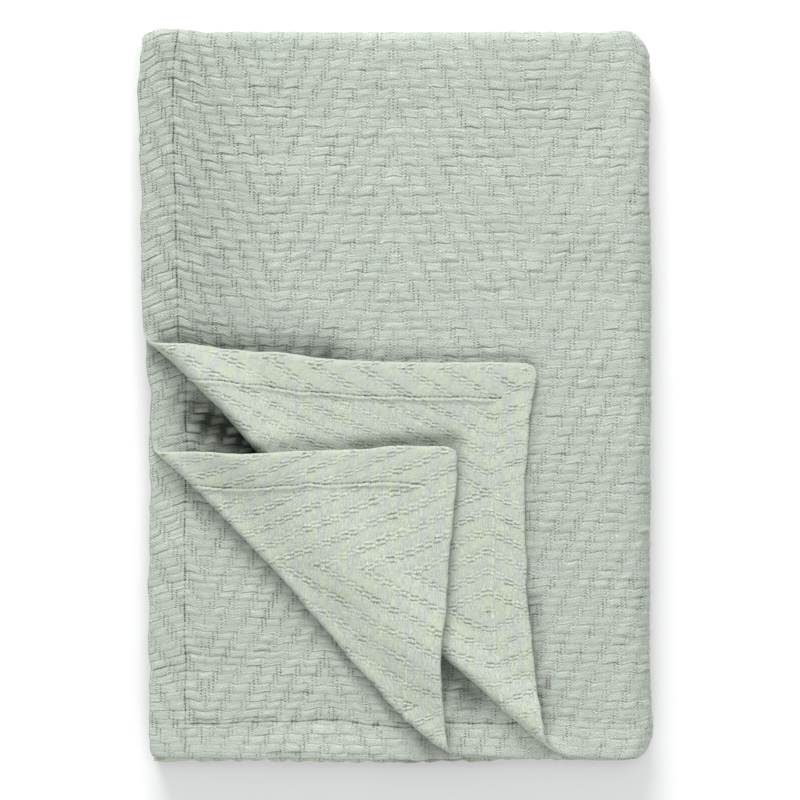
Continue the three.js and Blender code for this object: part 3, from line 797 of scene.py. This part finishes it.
def weave_map():
    """Per corner of a face: the weave's slanted column and its row. One hem shows the weave the other way round."""
    zone = zone_of(FACE_U, FACE_V)[CORNER_FACE]
    u, v = FLAT_U[CORNER_POINT], FLAT_V[CORNER_POINT]
    t, b = lattice(u, v, zone)
    across, along = from_edges(FACE_U, FACE_V, zone_of(FACE_U, FACE_V))
    reverse = is_reverse(FACE_OF, FACE_U, FACE_V) & (zone_of(FACE_U, FACE_V) == 0)
    foot_hem = (reverse & (along < HEM) & (across >= along))[CORNER_FACE]
    return t, np.where(foot_hem, 8.4 - b, b)


def lay_out():
    """Per corner: a place on a square on which what is seen from above has most of the room."""
    u, v = FLAT_U[CORNER_POINT], FLAT_V[CORNER_POINT]
    fu, fv = flat_point(FACE_U, FACE_V)
    x, y, _ = folded(fu, fv, np.full(fu.shape, 1.0))
    past_one, past_two = on_fold(TURN_ONE, x, y)[2] > 0, on_fold(TURN_TWO, x, y)[2] > 0
    far_u, far_v = FLAT_W - FACE_U, FLAT_L - FACE_V
    first = (FACE_U < 494) & (FACE_V < 663) & ((FACE_OF > 0) == ~(past_one & in_first(FACE_U, FACE_V)))
    second = (far_u < 334) & (FACE_V < 431) & ((FACE_OF < 0) == ~past_two)
    third = (far_u < 299) & (far_v < 289) & (FACE_OF > 0)
    kind = np.select([first, second, third, FACE_OF > 0], [0, 1, 2, 3], 4)[CORNER_FACE]
    rim = (SIDE[CORNER_POINT] == 0).astype(float)
    for full, out in ((FLAT_W, 0), (FLAT_L, 1)):
        w = (u, v)[out]
        wider = np.where(w < 0, -1, np.where(w > full, 1, 0)) * rim * np.where(kind > 2, 8, 1.2)
        u, v = (u + wider, v) if out == 0 else (u, v + wider)
    px = np.select([kind == 0, kind == 1, kind == 2, kind == 3], [u, 502 + FLAT_W - u, 502 + FLAT_W - u, v * 0.187], 505 + v * 0.134)
    py = np.select([kind == 0, kind == 1, kind == 2, kind == 3], [v, v, 438 + FLAT_L - v, 673 + u * 0.1], 735 + u * 0.066)
    return (px + 5) / 868, (py + 5) / 868


cloth_mesh = bpy.data.meshes.new("bedspread_cloth")
cloth_mesh.vertices.add(len(CO))
cloth_mesh.vertices.foreach_set("co", (CO / 1000).astype(np.float32).ravel())
cloth_mesh.loops.add(len(CORNER_POINT))
cloth_mesh.loops.foreach_set("vertex_index", CORNER_POINT.astype(np.int32))
cloth_mesh.polygons.add(len(FACES))
cloth_mesh.polygons.foreach_set("loop_start", FIRST_CORNER.astype(np.int32))
cloth_mesh.update(calc_edges=True)


def add_map(name, across, up):
    layer = cloth_mesh.uv_layers.new(name=name)
    layer.uv.foreach_set("vector", np.stack([across, up], 1).astype(np.float32).ravel())


add_map("OFBake", *lay_out())
add_map("weave", *weave_map())
add_map("flat", FLAT_U[CORNER_POINT], FLAT_V[CORNER_POINT])
tall = FLAT_V / 1.03
patchy = ease(0.5 + 0.6 * noise(FLAT_U / 11, tall / 9, 71))
slow = 0.5 + 0.3 * noise(FLAT_U / 70, tall / 70, 72) + 0.2 * noise(FLAT_U / 25, tall / 25, 73)
golden = ease(0.5 + 0.7 * noise(FLAT_U / 30, tall / 9, 74))
# painted shade from the hollows, stronger where the weave's relief is low and weaker on its crests
deep = np.clip(PAINTED_SHADE * (1.1 - 0.42 * np.clip(OWN, -1, 1)), 0, 0.96)
add_map("tone", deep[CORNER_POINT], OWN[CORNER_POINT])
add_map("vary", patchy[CORNER_POINT], (golden * 0.75 + 0.25 * slow)[CORNER_POINT])
cloth_mesh.polygons.foreach_set("material_index", is_reverse(FACE_OF, FACE_U, FACE_V).astype(np.int32))
cloth_mesh.polygons.foreach_set("use_smooth", np.ones(len(FACES), bool))
cloth = bpy.data.objects.new("bedspread_cloth", cloth_mesh)
bpy.context.scene.collection.objects.link(cloth)


# ---- the cotton ------------------------------------------------------------------------------------------------------
class Value:
    """A number in a material's nodes. Arithmetic on it adds nodes."""

    def __init__(self, tree, socket):
        self.tree, self.socket = tree, socket

    def op(self, kind, *others, clamp=False):
        node = self.tree.nodes.new("ShaderNodeMath")
        node.operation, node.use_clamp = kind, clamp
        for slot, x in zip(node.inputs, (self, *others)):
            if isinstance(x, Value):
                self.tree.links.new(x.socket, slot)
            else:
                slot.default_value = x
        return Value(self.tree, node.outputs[0])

    def __add__(self, other):
        return self.op("ADD", other)

    def __sub__(self, other):
        return self.op("SUBTRACT", other)

    def __mul__(self, other):
        return self.op("MULTIPLY", other)

    def __rsub__(self, other):
        return self.op("MULTIPLY", -1.0).op("ADD", other)

    __radd__, __rmul__ = __add__, __mul__

    def floor(self):
        return self.op("FLOOR")

    def mod(self, n):
        return self.op("FLOORED_MODULO", n)

    def abs(self):
        return self.op("ABSOLUTE")

    def step(self, low, high):
        """0 below low, 1 above high, smooth between, or the other way round if high is less than low."""
        node = self.tree.nodes.new("ShaderNodeMapRange")
        node.interpolation_type = "SMOOTHSTEP"
        self.tree.links.new(self.socket, node.inputs["Value"])
        if low < high:
            ends = (low, high, 0.0, 1.0)
        else:
            ends = (high, low, 1.0, 0.0)
        for name, x in zip(("From Min", "From Max", "To Min", "To Max"), ends):
            node.inputs[name].default_value = x
        return Value(self.tree, node.outputs["Result"])

    def line(self, width):
        """1 at 0, falling smoothly to 0 at the given width to either side."""
        return self.abs().step(width, 0.0)

    def clip(self):
        return self.op("ADD", 0.0, clamp=True)


def read_map(tree, name):
    node = tree.nodes.new("ShaderNodeUVMap")
    node.uv_map = name
    parts = tree.nodes.new("ShaderNodeSeparateXYZ")
    tree.links.new(node.outputs["UV"], parts.inputs[0])
    return Value(tree, parts.outputs["X"]), Value(tree, parts.outputs["Y"])


def speckle(tree, x, y, detail=0.0, seed=0.0, rough=0.5):
    """Noise about 0, from about -1 to 1, that changes over one unit of x and y."""
    at = tree.nodes.new("ShaderNodeCombineXYZ")
    tree.links.new(x.socket, at.inputs["X"])
    tree.links.new(y.socket, at.inputs["Y"])
    at.inputs["Z"].default_value = seed
    node = tree.nodes.new("ShaderNodeTexNoise")
    node.inputs["Scale"].default_value = 1.0
    node.inputs["Detail"].default_value = detail
    node.inputs["Roughness"].default_value = rough
    tree.links.new(at.outputs[0], node.inputs["Vector"])
    return (Value(tree, node.outputs["Fac"]) - 0.5) * 2.4


def grain(tree, x, y, seed=0.0):
    """A fixed number from 0 to 1 for each whole x and y."""
    at = tree.nodes.new("ShaderNodeCombineXYZ")
    tree.links.new(x.socket, at.inputs["X"])
    tree.links.new(y.socket, at.inputs["Y"])
    at.inputs["Z"].default_value = seed
    node = tree.nodes.new("ShaderNodeTexWhiteNoise")
    node.noise_dimensions = "3D"
    tree.links.new(at.outputs[0], node.inputs["Vector"])
    return Value(tree, node.outputs["Value"])


def blend_colour(tree, factor, first, second):
    node = tree.nodes.new("ShaderNodeMix")
    node.data_type = "RGBA"
    tree.links.new(factor.socket, node.inputs["Factor"])
    for slot, colour in ((node.inputs["A"], first), (node.inputs["B"], second)):
        if isinstance(colour, tuple):
            slot.default_value = (*colour, 1)
        else:
            tree.links.new(colour, slot)
    return node.outputs["Result"]


def linear(r, g, b):
    return tuple((c / 255 / 12.92) if c < 10.3 else ((c / 255 + 0.055) / 1.055) ** 2.4 for c in (r, g, b))


def seams(u, v, at_side, at_foot):
    """Darkness of the hems' seams: a row of stitches in a groove, with a needle hole at each end of a stitch."""
    across, along = u.op("MINIMUM", FLAT_W - u), v.op("MINIMUM", FLAT_L - v)
    found = None
    for gap, run, (even, holes) in ((across - STITCH, along, at_side), (along - STITCH, across, at_foot)):
        hole = ((run * (1 / STITCH_LONG)).mod(1.0) - 0.5).abs()
        row = gap.line(1.2) * run.step(STITCH - 1.5, STITCH + 0.5)
        row = row * (hole.step(0.3, 0.46) * holes + even)
        found = row if found is None else found.op("MAXIMUM", row)
    return found


def marks(u, v, table):
    """1 in the middle of each small mark, falling to 0 at its rim."""
    found = None
    for at_u, at_v, wide, tall in table:
        x, y = (u - float(at_u)) * float(1 / wide), (v - float(at_v)) * float(1 / tall)
        spot = (x * x + y * y).step(1.0, 0.25)
        found = spot if found is None else found.op("MAXIMUM", spot)
    return found


def cotton(reverse):
    """The cloth's puffed face or its smooth reverse."""
    material = bpy.data.materials.new("cotton_reverse" if reverse else "cotton_face")
    material.use_nodes = True
    tree = material.node_tree
    shader = next(n for n in tree.nodes if n.type == "BSDF_PRINCIPLED")
    t, b = read_map(tree, "weave")
    u, v = read_map(tree, "flat")
    painted_shade, high = read_map(tree, "tone")
    patchy, golden = read_map(tree, "vary")
    tall = b * 8.2

    if not reverse:
        far = u.op("MINIMUM", FLAT_W - u)
        seam = seams(u, v, (0.34, 0.75), (0.75, 0.3)) * (1.0 - far.step(310, 360) * 0.6)
        in_foot = v.op("MINIMUM", FLAT_L - v).step(STITCH + 0.5, STITCH - 1.5)
        # rows of puffs, and the narrow columns between them
        row = (b + 0.0001).floor()
        ph = (t + row).mod(REPEAT)
        sway = speckle(tree, u * 0.5, tall * 0.5, 0.0, 6.0) * 0.12
        # dark pin holes down both sides of each narrow column
        near_line = ((ph.op("MINIMUM", REPEAT - ph) + sway).line(0.32) + (ph - 1.0 + sway).line(0.32)).clip()
        beat = b * 4.0 + t * 0.37 + sway * 2.6
        tie = grain(tree, row, ((t + row) * (1 / REPEAT)).floor(), 8.0)
        strong = far.step(260, 60) * 0.2 + 0.8
        pin = (beat.mod(1.0) - 0.5).abs().step(0.36, 0.12)
        pins = near_line * (pin * 0.88 + 0.12) * (0.34 + patchy * 0.46 + tie * 0.3) * strong
        narrow = (ph - 0.5).abs().step(0.75, 0.3)
        thread = speckle(tree, u * 0.85, tall * 0.85, 0.0, 11.0)
        knots = (near_line * 0.45 + narrow * 0.5).clip() * (1.0 - pin) * (0.7 + thread * 0.6)
        in_puff = 1.0 - narrow * 0.95
        # painted shade over each narrow column and the column beside it, patchy
        gap = (ph - 0.5).abs().step(1.5, 0.4) * (patchy * 0.7 + 0.5)
        # a crease under each row of puffs, with painted shade in it and a thin painted highlight to each side of it,
        # and finer wrinkles along a puff
        whole = (b + 0.5).floor()
        wrinkle = speckle(tree, u * 0.12 + sway * 4.0, tall * 0.42, 1.0, 13.0, 0.6)
        crease_at = b - whole + wrinkle * 0.16
        each = grain(tree, whole, ((t + whole) * (1 / REPEAT)).floor(), 2.0)
        # painted shade along the crease, which the bump also deepens
        crease = crease_at.line(0.13) * (each * each * 0.8 + 0.08) * in_puff * (1.0 - in_foot * 0.25) * strong
        # thin painted highlight just below the crease, also raised a little in the bump
        rim = (crease_at + 0.17).line(0.1) * (each * 0.7 + 0.3) * in_puff
        # painted highlight just above the crease, partly yellow, also raised a little in the bump
        above = (crease_at - 0.17).line(0.13) * (each * each * 0.7) * in_puff * (1.0 - in_foot * 0.5)
        # painted shade in the wrinkles' low places and painted highlight, partly yellow, on their tops; the bump
        # carries the same wrinkles
        painted_wrinkle_shade = wrinkle.step(-0.1, -0.8) * in_puff
        painted_wrinkle_highlight = wrinkle.step(0.1, 0.8) * in_puff
        # fine twill
        over, under = (u + tall) * 0.38 + sway, (u - tall) * 0.38 + sway
        way = (wrinkle * 1.5 + 0.5).clip()
        twill = (over.mod(1.0) - 0.5).abs() * way + (under.mod(1.0) - 0.5).abs() * (1.0 - way)
        twill = twill * 4.0 - 1.0
        # painted highlight, partly yellow, where the mesh relief is high, and painted shade where it is low
        crest, painted_shade_low = high.step(0.2, 1.0), high.step(0.0, -0.9)
        fleck = twill * 0.75 + thread
        # darkening: pin holes, seams and random tone, with painted shade in creases, wrinkles, low places and by the
        # narrow columns; lightening: pale knots, grain and the foot hem, with painted highlights on crests, wrinkles
        # and beside creases
        dark = pins * 0.9 + gap * 0.075 - 0.015 + crease * 0.5 + painted_wrinkle_shade * 0.24 + painted_shade_low * 0.3 - fleck * 0.15 + seam * 0.6 - each * 0.04
        light = crest * 0.11 + knots * 0.58 + above * 0.42 + rim * 0.28 + painted_wrinkle_highlight * 0.2 + fleck * 0.31 + in_foot * 0.13 + each * 0.05
        yellow = (crest * 0.16 + painted_wrinkle_highlight * 0.5 + above * 1.1) * golden + 0.03
        base = linear(175, 182, 174)
        # cream threads that came loose at the seam, each a few curling strands
        curl = speckle(tree, u * 0.85, v * 0.95, 1.0, 17.0)
        strands = marks(u, v, LOOSE_THREADS) * (curl.line(0.1) + (curl - 0.42).line(0.09)).clip()
        mauve = marks(u, v, MAUVE_KNOTS) * ((1.0 - pin) * near_line * 0.5 + narrow * 0.35 + 0.1)
        height = wrinkle * 0.34 * in_puff + fleck * 0.13 - pins * 0.35 + knots * 0.25 - crease * 0.4 + above * 0.25 + rim * 0.12
    else:
        far = u.op("MINIMUM", FLAT_W - u)
        seam = seams(u, v, (0.4, 0.55), (0.0, 0.25))
        pale = (v.op("MINIMUM", FLAT_L - v) - STITCH - 1.2).line(1.7) * u.op("MINIMUM", FLAT_W - u).step(STITCH, STITCH + 2)
        # a dash on both sides of each narrow column, drawn askew within the row, with a painted highlight between the
        # two and another just past the second
        row = (b + 0.0001).floor()
        fb = b - row
        ph = (t + row).mod(REPEAT)
        thread = speckle(tree, v * 0.7, u * 0.62, 0.0, 36.0)
        bend = speckle(tree, v * 0.3, u * 0.17, 1.0, 21.0) * 0.26 + thread * 0.14 + (fb - 0.5) * 0.42
        side = ((ph + 1.0).mod(REPEAT) - 1.0) + bend
        strength = grain(tree, row, ((t + row + 0.5) * (1 / REPEAT)).floor(), 4.0)
        ends = (fb - 0.5).abs().step(0.54, 0.36)
        broken = (thread * 0.8 + patchy * 1.2 - 0.5).step(-0.9, 0.5)
        dash = (side.line(0.33) + (side - 1.0).line(0.33)) * ends * (0.38 + strength * 0.38) * (0.25 + broken * 0.75)
        # a dip beside each pair of dashes in the bump, with painted shade on it
        dip_with_painted_shade = (side - 1.85).line(0.75) * (fb - 0.5).abs().step(0.6, 0.3) * (0.55 + thread * 0.5)
        # painted highlight between the two dashes and just past the second, also raised in the bump
        rise_with_painted_highlight = (side - 0.5).line(0.36) * ends * (0.5 + thread * 0.7) + (side - 1.5).line(0.4) * ends * 0.45
        streak = speckle(tree, v * 0.13, u * 0.035, 1.0, 31.0).step(-0.55, 0.6)
        lint = speckle(tree, v * 0.85, u * 0.17, 1.0, 35.0)
        hatch = ((v * 0.34 - u * 0.34 + bend).mod(1.0) - 0.5).abs() * 4.0 - 1.0
        calm = far.step(HEM, HEM + 4) * 0.4 + 0.6
        fleck = (lint * 1.15 + thread * 0.45 + hatch * 0.2) * calm
        # darkening: dashes and seams, with painted shade beside the dashes; lightening: grain and the pale hem line,
        # with painted highlights by the dashes
        dark = dash + dip_with_painted_shade * 0.19 - fleck * 0.2 + seam * 0.85 - 0.02
        light = rise_with_painted_highlight * 0.5 + fleck * 0.4 + pale * 0.24 + 0.05
        yellow = streak * 0.5 + 0.05
        base = linear(181, 188, 183)
        height = fleck * 0.2 - dash * 0.45 - dip_with_painted_shade * 0.35 + rise_with_painted_highlight * 0.3 + bend * 0.4

    colour = blend_colour(tree, (golden * -0.2 + 0.2).clip(), base, linear(168, 178, 168))
    colour = blend_colour(tree, yellow.clip(), colour, linear(196, 204, 168))
    colour = blend_colour(tree, light.clip(), colour, linear(232, 238, 228))
    colour = blend_colour(tree, dark.clip(), colour, linear(80, 91, 76))
    if not reverse:
        colour = blend_colour(tree, mauve.clip(), colour, linear(128, 112, 118))
        colour = blend_colour(tree, (strands * 0.9).clip(), colour, linear(240, 236, 208))
    # painted shade in the hollows beside and under the turned corners, near black-green at its deepest
    colour = blend_colour(tree, painted_shade, colour, linear(22, 33, 17))
    tree.links.new(colour, shader.inputs["Base Color"])
    tree.links.new((0.9 + thread * 0.04).clip().socket, shader.inputs["Roughness"])
    shader.inputs["Specular IOR Level"].default_value = 0.25
    shader.inputs["Sheen Weight"].default_value = 0.12
    shader.inputs["Sheen Roughness"].default_value = 0.5
    bump = tree.nodes.new("ShaderNodeBump")
    bump.inputs["Strength"].default_value = 1.0
    bump.inputs["Distance"].default_value = 0.001
    tree.links.new((height - seam * 0.4).socket, bump.inputs["Height"])
    tree.links.new(bump.outputs["Normal"], shader.inputs["Normal"])
    return material


cloth_mesh.materials.append(cotton(False))
cloth_mesh.materials.append(cotton(True))

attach(cloth, "root")
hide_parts("bedspread")

# ---- floor, light and camera -----------------------------------------------------------------------------------------
floor_mesh = bpy.data.meshes.new("floor")
floor_mesh.from_pydata([(-9, -9, 0), (9, -9, 0), (9, 9, 0), (-9, 9, 0)], [], [(0, 1, 2, 3)])
floor = bpy.data.objects.new("floor", floor_mesh)
floor.location = (0, 0, -0.0002)
bpy.context.scene.collection.objects.link(floor)
floor_material = bpy.data.materials.new("floor")
floor_material.use_nodes = True
floor_shader = next(n for n in floor_material.node_tree.nodes if n.type == "BSDF_PRINCIPLED")
floor_shader.inputs["Base Color"].default_value = (0.9, 0.9, 0.9, 1)
floor_shader.inputs["Roughness"].default_value = 0.9
floor_shader.inputs["Specular IOR Level"].default_value = 0.1
floor_mesh.materials.append(floor_material)


def soft_light(name, at, size, power, aim=(0, 0, 0)):
    light = bpy.data.lights.new(name, "AREA")
    light.shape, light.size, light.size_y, light.energy = "RECTANGLE", size[0], size[1], power
    thing = bpy.data.objects.new(name, light)
    thing.location = at
    gap = np.subtract(aim, at)
    flat_gap = math.hypot(gap[0], gap[1])
    thing.rotation_euler = (math.atan2(flat_gap, -gap[2]), 0, math.atan2(-gap[0], gap[1]) if flat_gap > 1e-6 else 0)
    bpy.context.scene.collection.objects.link(thing)
    return thing


soft_light("key_light", (-0.6, 3.8, 2.1), (2.2, 1.5), 172)
soft_light("fill_light", (0.3, -3.4, 2.8), (2.4, 1.6), 38)
soft_light("top_light", (0.3, 0.2, 3.9), (2.0, 2.0), 30)

world = bpy.data.worlds.new("studio")
world.use_nodes = True
sky = next(n for n in world.node_tree.nodes if n.type == "BACKGROUND")
sky.inputs["Color"].default_value = (0.98, 0.99, 1.0, 1)
sky.inputs["Strength"].default_value = 0.5
bpy.context.scene.world = world
bpy.context.scene.view_settings.view_transform = "Standard"

TOP = 0.043  # height of the bundle's upper face
FRAME = 0.704  # width of the view there
camera_data = bpy.data.cameras.new("camera")
camera_data.lens, camera_data.sensor_width = 163.6, 36.0
camera_data.clip_end = 50
camera = bpy.data.objects.new("camera", camera_data)
camera.location = (0.00352, -0.00264, TOP + FRAME * camera_data.lens / camera_data.sensor_width)
bpy.context.scene.collection.objects.link(camera)
bpy.context.scene.camera = camera
